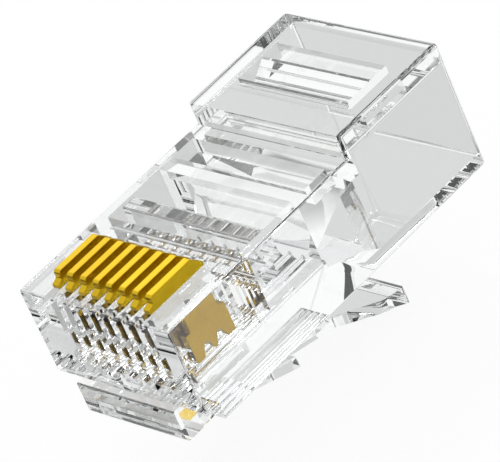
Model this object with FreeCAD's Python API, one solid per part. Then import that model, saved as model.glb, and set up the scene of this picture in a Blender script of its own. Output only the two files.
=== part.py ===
"""RJ45 modular plug: clear one-piece housing with a sprung latch, eight gold
contacts waiting to be crimped, and two clamp bars on film hinges.

Frame, in millimetres: X is the width, Y runs from the nose face back to the
cable entry, Z is up with the contacts on top and the latch below. The origin
is in the plane of the nose face, on the centre line, level with the underside.
"""
import FreeCAD
import Part
import math
import os

V = FreeCAD.Vector

# Housing, outside
body_width = 11.68
body_length = 23.0
front_height = 6.7
rear_height = 8.2
step_y = 14.6
nose_lift = 1.15
nose_foot_y = 1.0
edge_round = 0.14
block_round = 0.28

# Contacts
way_count = 8
pitch = 1.016
blade_thickness = 0.46
blade_height = 4.55
blade_rise = 0.87
crimped_top = 6.02
blade_front_y = 1.2
blade_rear_y = 5.05
tang_front_y = 1.5
tang_rear_y = 4.55
tang_depth = 0.8
tang_notch_half = 0.3
tang_slope = 0.14
head_depth = 1.82
neck_depth = 2.72
neck_front_inset = 0.38
neck_rear_inset = 0.45
crown_depth = 0.47
crown_ramp = 0.68
nub_reach = 0.4
nub_depth = 0.62
nub_height = 0.24
heel_depth = 0.66
heel_height = 0.74
corner_round = 0.08
crown_round = 0.22
crown_fillet = 0.12
tang_round = 0.05
blade_fit = 0.02
slot_slack = 0.15
slot_mouth_height = 0.34
slot_mouth_reach = 0.45

# Wire channels and the room behind them
bore_diameter = 0.94
bore_height = 2.35
bore_front_y = 0.9
bore_end_y = 5.9
wire_room_half = 4.25
wire_room_ceiling = 3.3
wire_room_end_y = 11.2
throat_y = 13.7
throat_half = 4.35
throat_floor = 1.0
throat_ceiling = 4.7

# Cable jacket room
jacket_half = 5.35
jacket_floor = 0.7
jacket_roof = 1.3
jacket_shoulder = 5.3
jacket_corner = 0.3
jacket_front_y = 14.45
jacket_roof_y = 15.05
entry_flare = 0.12

# Windows in the top
wire_window_front = 6.5
wire_window_rear = 10.73
wire_window_half = 5.12
rear_pocket_front = 11.8
rear_pocket_rear = 13.5
rear_pocket_depth = 0.95
jacket_window_to_end = 2.55
jacket_window_length = 3.25
jacket_window_half = 4.2

# Clamp bars
film_thickness = 0.3
film_fit = 0.02
film_cover = 0.2
clamp_sink = 0.1
clamp_side_gap = 0.12
clamp_round = 0.12
wire_film_z = 5.0
wire_film_length = 1.02
wire_clamp_length = 1.01
wire_clamp_foot = 3.45
jacket_film_length = 0.85
jacket_ramp_length = 1.0
jacket_clamp_top = 0.25

# Latch
latch_thickness = 0.72
latch_root_half = 3.8
latch_wide_half = 3.1
finger_half = 1.62
root_front_y = -0.49
root_wall = 0.07
root_round = 0.3
root_top_round = 0.12
hinge_y = 0.8
hinge_z = -0.6
hinge_radius = 0.27
hinge_fit = 0.03
latch_bend_y = 1.6
latch_bend_z = -0.25
shoulder_y = 8.4
shoulder_z = -2.53
finger_flare_y = 12.4
pad_front_y = 15.0
latch_end_y = 16.72
latch_end_z = -4.34
lip_depth = 0.43
lip_length = 1.15
lip_rise = 0.16
lip_round = 0.4
pad_round = 0.12
pad_corner = 0.3
bend_round = 0.8
bow_radius = 12
shoulder_round = 0.12
finger_round = 0.25
flare_round = 1.5
pad_flare_round = 1.2
taper_front_y = 1.5
taper_length = 1.2

half_width = body_width / 2
root_bottom = hinge_z - hinge_radius - hinge_fit - root_wall
wire_clamp_front = wire_window_front + wire_film_length
wire_clamp_rear = wire_clamp_front + wire_clamp_length
jacket_ceiling = rear_height - jacket_roof
jacket_window_rear = body_length - jacket_window_to_end
jacket_window_front = jacket_window_rear - jacket_window_length
jacket_ramp_front = jacket_window_front + jacket_film_length
jacket_ramp_top = jacket_ramp_front + jacket_ramp_length
jacket_clamp_rear = jacket_ramp_top + jacket_clamp_top
jacket_film_z = jacket_ceiling + film_cover + film_thickness / 2
overlap = 1.0


def rounded_wire(points, place):
    """Closed wire through (a, b, radius) corners; place turns (a, b) into a vector."""
    count = len(points)
    starts = []
    ends = []
    middles = []
    for i in range(count):
        before = FreeCAD.Vector(points[i - 1][0], points[i - 1][1], 0)
        corner = FreeCAD.Vector(points[i][0], points[i][1], 0)
        after = FreeCAD.Vector(points[(i + 1) % count][0], points[(i + 1) % count][1], 0)
        radius = points[i][2]
        to_before = (before - corner).normalize()
        to_after = (after - corner).normalize()
        if radius <= 0:
            starts.append(corner)
            ends.append(corner)
            middles.append(None)
            continue
        half_angle = to_before.getAngle(to_after) / 2
        reach = radius / math.tan(half_angle)
        centre = corner + (to_before + to_after).normalize() * (radius / math.sin(half_angle))
        starts.append(corner + to_before * reach)
        ends.append(corner + to_after * reach)
        middles.append(centre + (corner - centre).normalize() * radius)
    edges = []
    for i in range(count):
        if middles[i] is not None:
            arc = Part.Arc(place(starts[i]), place(middles[i]), place(ends[i]))
            edges.append(arc.toShape())
        line_start = place(ends[i])
        line_end = place(starts[(i + 1) % count])
        if (line_end - line_start).Length > 1e-6:
            edges.append(Part.makeLine(line_start, line_end))
    return Part.Wire(edges)


def side_solid(points, x_start, x_end):
    """Outline in (y, z) with corner radii, run across the width."""
    wire = rounded_wire(points, lambda p: V(x_start, p.x, p.y))
    return Part.Face(wire).extrude(V(x_end - x_start, 0, 0))


def plan_solid(points, z_start, z_end):
    """Outline in (x, y) with corner radii, run upwards."""
    wire = rounded_wire(points, lambda p: V(p.x, p.y, z_start))
    return Part.Face(wire).extrude(V(0, 0, z_end - z_start))


def block(x0, x1, y0, y1, z0, z1):
    return Part.makeBox(x1 - x0, y1 - y0, z1 - z0, V(x0, y0, z0))


def cross_rod(y, z, radius, half):
    """Round rod across the width."""
    return Part.makeCylinder(radius, 2 * half, V(-half, y, z), V(1, 0, 0))


def way_x(i):
    return (i - (way_count - 1) / 2) * pitch


def blade_outline():
    """Side outline of a contact: crimping head, neck and three piercing tangs."""
    top = front_height + blade_rise
    foot = top - blade_height
    head_bottom = top - head_depth
    neck_bottom = top - neck_depth
    neck_front = tang_front_y + neck_front_inset
    neck_rear = tang_rear_y - neck_rear_inset
    nub_y = blade_front_y - nub_reach
    nub_bottom = top - nub_depth - nub_height
    head_y = blade_front_y - nub_reach / 3
    slope = tang_slope
    points = [
        (blade_front_y, top, crown_round),
        (blade_front_y, top - crown_depth, crown_fillet),
        (nub_y, top - nub_depth, corner_round),
        (nub_y, nub_bottom, corner_round),
        (head_y, nub_bottom - slope, corner_round),
        (head_y, head_bottom, corner_round),
        (neck_front, head_bottom, corner_round),
        (neck_front, neck_bottom, corner_round),
        (tang_front_y, neck_bottom, corner_round),
        (tang_front_y, foot + slope, 0),
        (tang_front_y + slope, foot, tang_round),
    ]
    for n in (1, 2):
        centre = tang_front_y + n * (tang_rear_y - tang_front_y) / 3
        points += [
            (centre - tang_notch_half - slope, foot, tang_round),
            (centre - tang_notch_half + slope, foot + tang_depth - slope, 0),
            (centre, foot + tang_depth, corner_round),
            (centre + tang_notch_half - slope, foot + tang_depth - slope, 0),
            (centre + tang_notch_half + slope, foot, tang_round),
        ]
    points += [
        (tang_rear_y, foot, corner_round),
        (tang_rear_y, neck_bottom, corner_round),
        (neck_rear, neck_bottom + slope, corner_round),
        (neck_rear, head_bottom, corner_round),
        (blade_rear_y, top - heel_depth - heel_height, corner_round),
        (blade_rear_y, top - heel_depth, corner_round),
        (blade_rear_y - crown_ramp, top, corner_round),
    ]
    return points


def contact(i):
    """One stamped blade, standing as it does before crimping."""
    x = way_x(i)
    half = blade_thickness / 2
    return side_solid(blade_outline(), x - half, x + half)


def housing_shell():
    """Outer form, with the raised nose and the taller cable end."""
    outline = [
        (0, nose_lift, 0),
        (nose_foot_y, nose_lift, 0),
        (nose_foot_y, 0, 0),
        (body_length, 0, 0),
        (body_length, rear_height, 0),
        (step_y, rear_height, 0),
        (step_y, front_height, 0),
        (0, front_height, 0),
    ]
    shell = side_solid(outline, -half_width, half_width)
    block_edges = []
    for edge in shell.Edges:
        middle = edge.BoundBox.Center
        rear_rim = abs(middle.y - body_length) < 1e-6
        top_side = middle.y > step_y + 1e-6 and middle.z > rear_height - 1e-6
        upright = abs(middle.y - step_y) < 1e-6 and edge.BoundBox.ZLength > 1e-6
        if rear_rim or top_side or upright:
            block_edges.append(edge)
    shell = shell.makeFillet(block_round, block_edges)
    soft_edges = []
    for edge in shell.Edges:
        middle = edge.BoundBox.Center
        along_y = edge.BoundBox.YLength > edge.BoundBox.XLength + edge.BoundBox.ZLength
        nose_rim = abs(middle.y) < 1e-6 and middle.z > nose_lift + 1e-6
        front_side = along_y and nose_foot_y < middle.y < step_y
        if nose_rim or front_side:
            soft_edges.append(edge)
    return shell.makeFillet(edge_round, soft_edges)


def latch_root():
    """Block under the nose that carries the latch, with the seat of its hinge."""
    outline = [
        (root_front_y, root_bottom, root_round),
        (hinge_y, root_bottom, 0),
        (hinge_y, nose_lift + overlap, 0),
        (0, nose_lift + overlap, 0),
        (0, nose_lift, 0),
        (root_front_y, nose_lift, root_top_round),
    ]
    return side_solid(outline, -latch_root_half, latch_root_half)


def contact_slots():
    """Slots that guide the blades down, with a mouth that opens each one at the nose."""
    slots = []
    slot_half = blade_thickness / 2 + blade_fit
    head_floor = bore_height + bore_diameter / 2 + slot_slack
    tang_floor = crimped_top - blade_height - slot_slack
    mouth_rear = blade_front_y - nub_reach
    for i in range(way_count):
        left = way_x(i) - slot_half
        right = way_x(i) + slot_half
        head = block(left, right, mouth_rear - slot_mouth_reach, blade_rear_y + slot_slack,
                     head_floor, front_height + overlap)
        tang = block(left, right, tang_front_y - slot_slack, tang_rear_y + slot_slack,
                     tang_floor, head_floor + overlap)
        mouth = block(left, right, -overlap, mouth_rear,
                      front_height - slot_mouth_height, front_height + overlap)
        slots += [head, tang, mouth]
    return slots


def wire_channels():
    """Eight round bores under the contacts, going on as open troughs in the wire room's floor."""
    channels = []
    for i in range(way_count):
        start = V(way_x(i), bore_front_y, bore_height)
        run = wire_room_end_y - bore_front_y
        channels.append(Part.makeCylinder(bore_diameter / 2, run, start, V(0, 1, 0)))
    return channels


def loft_room(front, rear):
    """Room between two upright rectangles, each (y, half width, floor, ceiling)."""
    wires = []
    for y, half, floor, ceiling in (front, rear):
        corners = [V(-half, y, floor), V(half, y, floor), V(half, y, ceiling),
                   V(-half, y, ceiling), V(-half, y, floor)]
        wires.append(Part.makePolygon(corners))
    return Part.makeLoft(wires, True, True)


def jacket_outline(y):
    """Outline of the jacket room at one y, with its two upper corners rounded."""
    corners = [
        (-jacket_half, jacket_floor, 0),
        (jacket_half, jacket_floor, 0),
        (jacket_half, jacket_ceiling, jacket_corner),
        (-jacket_half, jacket_ceiling, jacket_corner),
    ]
    return rounded_wire(corners, lambda p: V(p.x, y, p.y))


def inner_rooms():
    """Wire room, throat and jacket room, from the contacts back to the cable entry."""
    wire_room = block(-wire_room_half, wire_room_half, bore_end_y, wire_room_end_y,
                      bore_height, wire_room_ceiling)
    ramp = loft_room((wire_room_end_y, wire_room_half, bore_height - bore_diameter / 2,
                      wire_room_ceiling),
                     (throat_y, throat_half, throat_floor, throat_ceiling))
    funnel = loft_room((throat_y, throat_half, throat_floor, throat_ceiling),
                       (jacket_front_y, jacket_half, jacket_floor, jacket_shoulder))
    landing = block(-jacket_half, jacket_half, jacket_front_y, jacket_roof_y + overlap,
                    jacket_floor, jacket_shoulder)
    room_length = body_length + overlap - jacket_roof_y
    jacket_room = Part.Face(jacket_outline(jacket_roof_y)).extrude(V(0, room_length, 0))
    flare = loft_room((body_length - entry_flare, jacket_half, jacket_floor, jacket_ceiling),
                      (body_length, jacket_half + entry_flare, jacket_floor - entry_flare,
                       jacket_ceiling + entry_flare))
    return [wire_room, ramp, funnel, landing, jacket_room, flare]


def top_windows():
    """Openings above the clamp bars and the moulding pocket ahead of the step."""
    wire_window = block(-wire_window_half, wire_window_half, wire_window_front,
                        wire_window_rear, bore_height + bore_diameter / 2, front_height + overlap)
    pocket = block(-wire_window_half, wire_window_half, rear_pocket_front,
                   rear_pocket_rear, front_height - rear_pocket_depth, front_height + overlap)
    jacket_window = block(-jacket_window_half, jacket_window_half, jacket_window_front,
                          jacket_window_rear, jacket_ceiling - jacket_corner,
                          rear_height + overlap)
    return [wire_window, pocket, jacket_window]


def hinge_seats():
    """Round grooves that the latch and the two clamp films turn in."""
    film_seat = film_thickness / 2 + film_fit
    return [
        cross_rod(hinge_y, hinge_z, hinge_radius + hinge_fit, latch_root_half + overlap),
        cross_rod(wire_window_front, wire_film_z, film_seat, wire_window_half),
        cross_rod(jacket_window_front, jacket_film_z, film_seat, jacket_window_half),
    ]


def housing():
    shell = housing_shell()
    solid = shell.fuse(latch_root())
    cuts = contact_slots() + wire_channels() + inner_rooms() + top_windows() + hinge_seats()
    solid = solid.cut(cuts)
    return solid.removeSplitter()


def latch():
    """Sprung latch: wide part up to the locking shoulders, then the finger with its end pad."""
    drop = latch_thickness
    profile = [
        (hinge_y, hinge_z + hinge_radius, 0),
        (latch_bend_y, latch_bend_z, bend_round),
        (shoulder_y, shoulder_z, bow_radius),
        (latch_end_y, latch_end_z, pad_round),
        (latch_end_y, latch_end_z - drop - lip_depth, pad_round),
        (latch_end_y - lip_length, latch_end_z - drop + lip_rise, lip_round),
        (shoulder_y, shoulder_z - drop, bow_radius),
        (latch_bend_y, latch_bend_z - drop, bend_round),
        (hinge_y, hinge_z - hinge_radius, 0),
    ]
    web = side_solid(profile, -latch_root_half, latch_root_half)
    knuckle = cross_rod(hinge_y, hinge_z, hinge_radius, latch_root_half)
    right = [
        (latch_root_half, hinge_y - overlap, 0),
        (latch_root_half, taper_front_y, bend_round),
        (latch_wide_half, taper_front_y + taper_length, bend_round),
        (latch_wide_half, shoulder_y, shoulder_round),
        (finger_half, shoulder_y, finger_round),
        (finger_half, finger_flare_y, flare_round),
        (latch_wide_half, pad_front_y, pad_flare_round),
        (latch_wide_half, latch_end_y, pad_corner),
    ]
    left = [(-x, y, r) for x, y, r in reversed(right)]
    plan = plan_solid(right + left, latch_end_z - drop - overlap, overlap)
    return web.fuse(knuckle).common(plan).removeSplitter()


def wire_clamp():
    """Bar that a crimp tool folds down on the wires, hung on a film at its front."""
    half = wire_window_half - clamp_side_gap
    foot_half = wire_room_half - clamp_side_gap
    film_top = wire_film_z + film_thickness / 2
    film_bottom = wire_film_z - film_thickness / 2
    head = [
        (wire_window_front, film_bottom, 0),
        (wire_clamp_rear, film_bottom, clamp_round),
        (wire_clamp_rear, front_height - clamp_sink, clamp_round),
        (wire_clamp_front, front_height - clamp_sink, clamp_round),
        (wire_clamp_front, film_top, clamp_round),
        (wire_window_front, film_top, 0),
    ]
    foot = [
        (wire_clamp_front, wire_film_z, 0),
        (wire_clamp_front, wire_clamp_foot, clamp_round),
        (wire_clamp_rear, wire_clamp_foot, clamp_round),
        (wire_clamp_rear, wire_film_z, 0),
    ]
    knuckle = cross_rod(wire_window_front, wire_film_z, film_thickness / 2, half)
    bar = side_solid(head, -half, half).fuse(side_solid(foot, -foot_half, foot_half))
    return bar.fuse(knuckle).removeSplitter()


def jacket_clamp():
    """Wedge that is folded down on the cable jacket, hung on a film at its front."""
    half = jacket_window_half - clamp_side_gap
    film_top = jacket_film_z + film_thickness / 2
    film_bottom = jacket_film_z - film_thickness / 2
    outline = [
        (jacket_window_front, film_bottom, 0),
        (jacket_clamp_rear, film_bottom, clamp_round),
        (jacket_clamp_rear, rear_height - clamp_sink / 2, corner_round),
        (jacket_ramp_top, rear_height - clamp_sink / 2, corner_round),
        (jacket_ramp_front, film_top, clamp_round),
        (jacket_window_front, film_top, 0),
    ]
    knuckle = cross_rod(jacket_window_front, jacket_film_z, film_thickness / 2, half)
    return side_solid(outline, -half, half).fuse(knuckle).removeSplitter()


def main():
    pieces = {"housing": housing(), "latch": latch(),
              "wire_clamp": wire_clamp(), "jacket_clamp": jacket_clamp()}
    for i in range(way_count):
        pieces["contact_%d" % (i + 1)] = contact(i)
    os.makedirs("parts", exist_ok=True)
    for name, shape in pieces.items():
        print(name, shape.ShapeType, len(shape.Solids), round(shape.Volume, 3), shape.isValid())
        shape.exportStep("parts/%s.step" % name)


main()
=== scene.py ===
"""Looks for the clear modular plug: polycarbonate moulding, gold contacts and a pale studio."""
import math

import bmesh
import bpy
from mathutils import Matrix, Vector


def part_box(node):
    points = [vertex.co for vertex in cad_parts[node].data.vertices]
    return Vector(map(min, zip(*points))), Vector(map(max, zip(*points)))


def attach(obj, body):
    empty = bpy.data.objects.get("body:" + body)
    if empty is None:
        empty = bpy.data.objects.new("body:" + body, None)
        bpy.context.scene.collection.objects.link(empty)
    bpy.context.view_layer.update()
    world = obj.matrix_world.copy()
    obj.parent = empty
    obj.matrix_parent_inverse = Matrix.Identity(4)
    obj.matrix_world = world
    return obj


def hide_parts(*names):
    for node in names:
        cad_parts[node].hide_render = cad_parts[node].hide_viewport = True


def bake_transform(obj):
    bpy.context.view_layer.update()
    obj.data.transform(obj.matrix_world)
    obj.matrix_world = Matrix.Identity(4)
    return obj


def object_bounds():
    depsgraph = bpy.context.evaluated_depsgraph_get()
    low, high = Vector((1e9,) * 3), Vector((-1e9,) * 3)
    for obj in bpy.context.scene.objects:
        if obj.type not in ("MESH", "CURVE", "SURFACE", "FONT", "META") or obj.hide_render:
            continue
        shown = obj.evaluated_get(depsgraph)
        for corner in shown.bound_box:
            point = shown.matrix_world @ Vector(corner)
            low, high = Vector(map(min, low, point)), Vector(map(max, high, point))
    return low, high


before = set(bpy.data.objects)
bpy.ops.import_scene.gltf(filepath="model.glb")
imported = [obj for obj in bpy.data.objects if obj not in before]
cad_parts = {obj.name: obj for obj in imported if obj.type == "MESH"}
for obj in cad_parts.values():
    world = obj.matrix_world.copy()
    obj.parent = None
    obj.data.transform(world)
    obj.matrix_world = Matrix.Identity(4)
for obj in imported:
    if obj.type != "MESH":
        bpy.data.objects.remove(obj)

cad_low, cad_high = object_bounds()


# The housing
# One shot of water-clear polycarbonate in a mould of polished steel, so that every face comes
# out like glass. The latch grows out of the block under the nose, with no joint between them.

def colour(code, alpha=1.0):
    """sRGB hex to the linear colour that a shader takes."""
    parts = [int(code[i:i + 2], 16) / 255 for i in (1, 3, 5)]
    return [c / 12.92 if c < 0.04045 else ((c + 0.055) / 1.055) ** 2.4 for c in parts] + [alpha]


def add_node(tree, kind, settings=None, inputs=None):
    """Adds a node; inputs that are sockets are linked and other inputs are set."""
    node = tree.nodes.new(kind)
    for key, value in (settings or {}).items():
        setattr(node, key, value)
    for key, value in (inputs or {}).items():
        if isinstance(value, bpy.types.NodeSocket):
            tree.links.new(value, node.inputs[key])
        else:
            node.inputs[key].default_value = value
    return node


def empty_material(name):
    """A material with nothing but its output node."""
    material = bpy.data.materials.new(name)
    material.use_nodes = True
    material.node_tree.nodes.clear()
    output = add_node(material.node_tree, "ShaderNodeOutputMaterial")
    return material, material.node_tree, output


# Polycarbonate, injection moulded in a polished tool. The high index gives deep, bright facets.
# The melt's flow leaves a waviness of a few millimetres, and the last of the tool's polishing
# leaves a haze that is just enough to soften the edges of what is seen through it.
polycarbonate, tree, output = empty_material("clear polycarbonate, polished mould")
place = add_node(tree, "ShaderNodeTexCoord")
flow = add_node(tree, "ShaderNodeTexNoise", inputs={
    "Vector": place.outputs["Object"], "Scale": 260.0, "Detail": 1.0})
wave = add_node(tree, "ShaderNodeBump", inputs={
    "Height": flow.outputs["Fac"], "Strength": 0.02, "Distance": 0.0002})
haze = add_node(tree, "ShaderNodeMapRange", inputs={
    "Value": flow.outputs["Fac"], "To Min": 0.0, "To Max": 0.02})
surface = add_node(tree, "ShaderNodeBsdfPrincipled", inputs={
    "Base Color": colour("#FBFCFC"), "Transmission Weight": 1.0, "IOR": 1.585,
    "Roughness": haze.outputs["Result"], "Normal": wave.outputs["Normal"]})
tree.links.new(surface.outputs["BSDF"], output.inputs["Surface"])


weld_distance = 1e-7
plane_distance = 1e-8
crease_angle = math.radians(30)


def welded(node):
    """A bmesh with a node's faces, its loose triangles joined into one skin."""
    skin = bmesh.new()
    skin.from_mesh(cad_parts[node].data)
    bmesh.ops.remove_doubles(skin, verts=skin.verts, dist=weld_distance)
    return skin


def cut_off(skin, y, keep_front):
    """Cuts a closed skin across at y, drops one side and closes the cut."""
    side = {"clear_outer": keep_front, "clear_inner": not keep_front}
    bmesh.ops.bisect_plane(
        skin, geom=skin.verts[:] + skin.edges[:] + skin.faces[:], dist=plane_distance,
        plane_co=(0, y, 0), plane_no=(0, 1, 0), **side)
    rim = [edge for edge in skin.edges if edge.is_boundary]
    bmesh.ops.holes_fill(skin, edges=rim)
    bmesh.ops.recalc_face_normals(skin, faces=skin.faces)


def new_piece(name, skin):
    """A new object at the origin, made from a bmesh and shaded by its own faces alone."""
    mesh = bpy.data.meshes.new(name)
    skin.to_mesh(mesh)
    skin.free()
    carried_normals = mesh.attributes.get("custom_normal")
    if carried_normals:
        mesh.attributes.remove(carried_normals)
    piece = bpy.data.objects.new(name, mesh)
    bpy.context.scene.collection.objects.link(piece)
    return piece


def finish_skin(piece, material):
    """Shades a piece smooth, with flat faces flat and creases sharp, in one material."""
    piece.data.polygons.foreach_set("use_smooth", [True] * len(piece.data.polygons))
    piece.data.set_sharp_from_angle(angle=crease_angle)
    piece.data.materials.clear()
    piece.data.materials.append(material)
    flats = piece.modifiers.new("flat faces", "WEIGHTED_NORMAL")
    flats.keep_sharp = True


def fill(base, filling):
    """Boolean union of a filling into base, applied to its mesh."""
    union = base.modifiers.new("union", "BOOLEAN")
    union.operation = "UNION"
    union.solver = "EXACT"
    union.object = filling
    solid = bpy.data.meshes.new_from_object(
        base.evaluated_get(bpy.context.evaluated_depsgraph_get()))
    base.modifiers.clear()
    base.data = solid
    bpy.data.objects.remove(filling)


# The CAD hinge turns in a round seat that the real block doesn't have, so the seat is filled.
root_y = 0.0008
root_z = -0.0006
seat_radius = 0.00032
seat_facets = 48
seat_overhang = 0.000002
latch_low, latch_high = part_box("latch")
seat = bmesh.new()
bmesh.ops.create_cone(
    seat, segments=seat_facets, radius1=seat_radius, radius2=seat_radius, cap_ends=True,
    depth=latch_high[0] - latch_low[0] + seat_overhang,
    matrix=Matrix.Translation((0, root_y, root_z)) @ Matrix.Rotation(math.radians(90), 4, "Y"))
cut_off(seat, root_y, keep_front=True)
moulding = new_piece("moulding", welded("housing"))
fill(moulding, new_piece("seat_filling", seat))

# The CAD leaves the slots open ahead of the blades. The real wall ends just short of the line
# that the nubs come down on, and lower down, below the heads' stroke, just ahead of the tangs.
# Its outline from the side, in y and z, is drawn out across each slot and into both its flanks.
wall_outline = [
    (0.00030, 0.00290), (0.00145, 0.00290), (0.00145, 0.00410), (0.00075, 0.00410),
    (0.00075, 0.00636), (0.00030, 0.00636)]
wall_lap = 0.000025
contacts = ["contact_%d" % way for way in range(1, 9)]
walls = bmesh.new()
for contact in contacts:
    blade_low, blade_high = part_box(contact)
    left = blade_low[0] - wall_lap
    flank = walls.faces.new([walls.verts.new((left, y, z)) for y, z in wall_outline])
    run = bmesh.ops.extrude_face_region(walls, geom=[flank])
    moved = [item for item in run["geom"] if isinstance(item, bmesh.types.BMVert)]
    bmesh.ops.translate(walls, verts=moved, vec=(blade_high[0] - left + wall_lap, 0, 0))
bmesh.ops.recalc_face_normals(walls, faces=walls.faces)
fill(moulding, new_piece("slot_front_walls", walls))
finish_skin(moulding, polycarbonate)
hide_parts("housing")
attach(moulding, "housing")


# The latch
# A flat spring of the same shot, which bends where it leaves the block under the nose. Its skin
# starts on the hinge line and is cut across nine times in its first two millimetres.

bend_end_y = 0.0026
bend_steps = 10
root_gap = 0.000002
spring = welded("latch")
cut_off(spring, root_y + root_gap, keep_front=False)
for step in range(1, bend_steps):
    across = root_y + (bend_end_y - root_y) * step / bend_steps
    bmesh.ops.bisect_plane(
        spring, geom=spring.verts[:] + spring.edges[:] + spring.faces[:], dist=plane_distance,
        plane_co=(0, across, 0), plane_no=(0, 1, 0))
spring_latch = new_piece("spring_latch", spring)
finish_skin(spring_latch, polycarbonate)
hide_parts("latch")
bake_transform(spring_latch)


# The clamp bars
# Two bars of the same shot, each hanging on a thin film in a window of the roof. The crimp tool
# folds the front one down on the wires and the rear one on the cable's jacket.

for bar in ("wire_clamp", "jacket_clamp"):
    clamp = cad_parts[bar]
    if not clamp.material_slots:
        clamp.data.materials.append(polycarbonate)
    for material_slot in clamp.material_slots:
        material_slot.material = polycarbonate


# The contacts
# Eight blades blanked from phosphor bronze strip and gold plated. They stand in their slots
# above the wires, proud of the nose, until a crimp tool drives them down.

# Rolled strip under thin gold. Rolling leaves fine lines along the strip, 5 to 10 micrometres
# apart on the real one and drawn 0.1 mm apart here so that they show as a streaked shine. The
# colour is lighter and yellower on the crown and darker and browner down the blade. That is
# painted light on the crown and painted shade down the blade, over a tone that differs at
# random.
# Heights over which the painted shade down the blade gives way to the painted light on the
# crown.
crown_foot_z = 0.0052
crown_top_z = 0.0068
plating, tree, output = empty_material("gold plated phosphor bronze, blanked strip")
place = add_node(tree, "ShaderNodeTexCoord")
stretch = add_node(tree, "ShaderNodeMapping", inputs={
    "Vector": place.outputs["Object"], "Scale": (1.0, 1.0, 0.12)})
rolling = add_node(tree, "ShaderNodeTexNoise", inputs={
    "Vector": stretch.outputs["Vector"], "Scale": 9000.0, "Detail": 2.0})
ridges = add_node(tree, "ShaderNodeBump", inputs={
    "Height": rolling.outputs["Fac"], "Strength": 0.06, "Distance": 0.00001})
dull = add_node(tree, "ShaderNodeMapRange", inputs={
    "Value": rolling.outputs["Fac"], "To Min": 0.2, "To Max": 0.28})
bath = add_node(tree, "ShaderNodeTexNoise", inputs={
    "Vector": place.outputs["Object"], "Scale": 900.0, "Detail": 1.0})
height = add_node(tree, "ShaderNodeSeparateXYZ", inputs={"Vector": place.outputs["Object"]})
# Painted light and shade: 0 from the crown's foot down the blade, rising to 0.7 at the crown's
# top.
painted_light_by_height = add_node(tree, "ShaderNodeMapRange", inputs={
    "Value": height.outputs["Z"], "From Min": crown_foot_z, "From Max": crown_top_z,
    "To Min": 0.0, "To Max": 0.7})
# A random tone of the plating, added to the painted shade and light by height.
random_tone_and_painted_shade = add_node(tree, "ShaderNodeMath", {"operation": "MULTIPLY_ADD"}, {
    0: bath.outputs["Fac"], 1: 0.4, 2: painted_light_by_height.outputs["Result"]})
# The darker colour is painted shade down the blade; the lighter one is painted light on the
# crown.
gold = add_node(tree, "ShaderNodeMix", {"data_type": "RGBA"}, {
    "Factor": random_tone_and_painted_shade.outputs[0], 6: colour("#B08C0C"), 7: colour("#D2B024")})
surface = add_node(tree, "ShaderNodeBsdfPrincipled", inputs={
    "Base Color": gold.outputs[2], "Metallic": 1.0,
    "Roughness": dull.outputs["Result"], "Normal": ridges.outputs["Normal"]})
tree.links.new(surface.outputs["BSDF"], output.inputs["Surface"])

# Each blade's flats become single faces again, and tumbling has broken its blanked edges.
flat_angle = math.radians(1)
blanked_angle = math.radians(60)
edge_break = 0.000018
for contact in contacts:
    blade_skin = welded(contact)
    bmesh.ops.dissolve_limit(
        blade_skin, angle_limit=flat_angle, use_dissolve_boundaries=False,
        verts=blade_skin.verts, edges=blade_skin.edges)
    blade = new_piece(contact.replace("contact", "blade"), blade_skin)
    tumbled = blade.modifiers.new("tumbled edges", "BEVEL")
    tumbled.width = edge_break
    tumbled.segments = 2
    tumbled.limit_method = "ANGLE"
    tumbled.angle_limit = blanked_angle
    finish_skin(blade, plating)
    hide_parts(contact)
    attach(blade, contact)


# The studio
# A white sheet under the plug and a white tent round it. Clear plastic shows what stands round
# it, so the tent has a grey card behind the plug and is open to the dark low down in front.

floor_drop = 0.0004
floor_half = 1.5
bpy.ops.mesh.primitive_plane_add(size=2 * floor_half, location=(0, 0, cad_low[2] - floor_drop))
floor = bpy.context.object
floor.name = "paper_floor"

# Matt paper that shows the camera a plain white with the plug's faint shadow. What looks
# through the plastic looks past the sheet to the tent.
white_share = 0.92
paper, tree, output = empty_material("white paper")
path = add_node(tree, "ShaderNodeLightPath")
matt = add_node(tree, "ShaderNodeBsdfDiffuse", inputs={"Color": colour("#F2F2F2")})
glow = add_node(tree, "ShaderNodeEmission", inputs={"Color": colour("#FFFFFF"), "Strength": 1.0})
share = add_node(tree, "ShaderNodeMath", {"operation": "MULTIPLY"}, {
    0: path.outputs["Is Camera Ray"], 1: white_share})
lit = add_node(tree, "ShaderNodeMixShader", inputs={
    0: share.outputs[0], 1: matt.outputs["BSDF"], 2: glow.outputs["Emission"]})
through = add_node(tree, "ShaderNodeMath", {"operation": "MAXIMUM"}, {
    0: path.outputs["Is Transmission Ray"], 1: path.outputs["Is Glossy Ray"]})
clear = add_node(tree, "ShaderNodeBsdfTransparent")
mixed = add_node(tree, "ShaderNodeMixShader", inputs={
    0: through.outputs[0], 1: lit.outputs["Shader"], 2: clear.outputs["BSDF"]})
tree.links.new(mixed.outputs["Shader"], output.inputs["Surface"])
floor.data.materials.append(paper)

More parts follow.
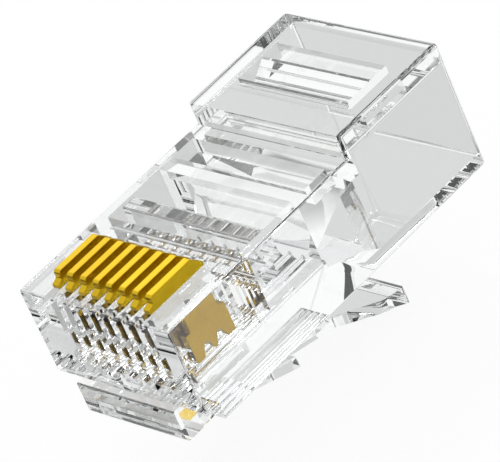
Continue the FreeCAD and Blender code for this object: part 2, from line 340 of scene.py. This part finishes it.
# The tent is white, at a strength of 1, and each shade below is a share of that. The card fades
# in from 22 to 14 degrees off its middle. The dark opening takes the directions that point both
# forwards and down, and is deepest on the plug's left. The seam round the tent and the table
# under it are grey: they draw the edges, and the sides seen square on.
card_direction = (-0.704, 0.470, -0.532)
card_shade = 0.64
opening_right_shade = 0.4
opening_left_shade = 0.04
seam_shade = 0.62
table_shade = 0.7
world = bpy.data.worlds.new("white tent")
bpy.context.scene.world = world
world.use_nodes = True
tree = world.node_tree
tree.nodes.clear()
output = add_node(tree, "ShaderNodeOutputWorld")
direction = add_node(tree, "ShaderNodeTexCoord")
towards_card = add_node(tree, "ShaderNodeVectorMath", {"operation": "DOT_PRODUCT"}, {
    0: direction.outputs["Generated"], 1: card_direction})
card = add_node(tree, "ShaderNodeMapRange", inputs={
    "Value": towards_card.outputs["Value"], "From Min": 0.93, "From Max": 0.97,
    "To Min": 1.0, "To Max": card_shade})
axes = add_node(tree, "ShaderNodeSeparateXYZ", inputs={"Vector": direction.outputs["Generated"]})
front = add_node(tree, "ShaderNodeMapRange", inputs={
    "Value": axes.outputs["Y"], "From Min": -0.1, "From Max": -0.35,
    "To Min": 0.0, "To Max": 1.0})
below = add_node(tree, "ShaderNodeMapRange", inputs={
    "Value": axes.outputs["Z"], "From Min": 0.1, "From Max": -0.2,
    "To Min": 0.0, "To Max": 1.0})
opening = add_node(tree, "ShaderNodeMath", {"operation": "MULTIPLY"}, {
    0: front.outputs["Result"], 1: below.outputs["Result"]})
depth = add_node(tree, "ShaderNodeMapRange", inputs={
    "Value": axes.outputs["X"], "From Min": 0.4, "From Max": -0.4,
    "To Min": opening_right_shade, "To Max": opening_left_shade})
dim = add_node(tree, "ShaderNodeMapRange", inputs={
    "Value": opening.outputs[0], "To Min": 1.0, "To Max": depth.outputs["Result"]})
slope = add_node(tree, "ShaderNodeMath", {"operation": "ABSOLUTE"}, {0: axes.outputs["Z"]})
seam = add_node(tree, "ShaderNodeMapRange", inputs={
    "Value": slope.outputs[0], "From Min": 0.12, "From Max": 0.32,
    "To Min": seam_shade, "To Max": 1.0})
table = add_node(tree, "ShaderNodeMapRange", inputs={
    "Value": axes.outputs["Z"], "From Min": -0.8, "From Max": -0.92,
    "To Min": 1.0, "To Max": table_shade})
level = add_node(tree, "ShaderNodeMath", {"operation": "MULTIPLY"}, {
    0: card.outputs["Result"], 1: dim.outputs["Result"]})
for grey in (seam, table):
    level = add_node(tree, "ShaderNodeMath", {"operation": "MULTIPLY"}, {
        0: level.outputs[0], 1: grey.outputs["Result"]})
path = add_node(tree, "ShaderNodeLightPath")
shown = add_node(tree, "ShaderNodeMath", {"operation": "MAXIMUM"}, {
    0: level.outputs[0], 1: path.outputs["Is Camera Ray"]})
surround = add_node(tree, "ShaderNodeBackground", inputs={
    "Color": colour("#FFFFFF"), "Strength": shown.outputs[0]})
tree.links.new(surround.outputs["Background"], output.inputs["Surface"])

# One soft box over the plug's left shoulder, for the shine along the contacts.
lamp_place = Vector((-0.16, 0.12, 0.22))
lamp_aim = Vector((0.0, 0.0115, 0.003))
lamp = bpy.data.lights.new("overhead_box", "AREA")
lamp.shape = "SQUARE"
lamp.size = 0.06
lamp.energy = 0.16
holder = bpy.data.objects.new("overhead_box", lamp)
holder.location = lamp_place
holder.rotation_mode = "QUATERNION"
holder.rotation_quaternion = (lamp_aim - lamp_place).to_track_quat("-Z", "Y")
bpy.context.scene.collection.objects.link(holder)

# The lens and the place were fitted to the plug's outline in the photograph.
camera_data = bpy.data.cameras.new("camera")
camera_data.sensor_width = 36.0
camera_data.lens = 313.5
camera_data.clip_start = 0.01
camera_data.clip_end = 10.0
camera = bpy.data.objects.new("camera", camera_data)
bpy.context.scene.collection.objects.link(camera)
bpy.context.scene.camera = camera
camera.location = (0.163514, -0.098108, 0.126915)
camera.rotation_euler = [math.radians(a) for a in (55.414, 20.349, 42.797)]

# Light crosses the moulding's rooms and slots many times on its way through.
bpy.context.scene.view_settings.view_transform = "Standard"
light_paths = bpy.context.scene.cycles
light_paths.max_bounces = 16
light_paths.glossy_bounces = 12
light_paths.transmission_bounces = 16
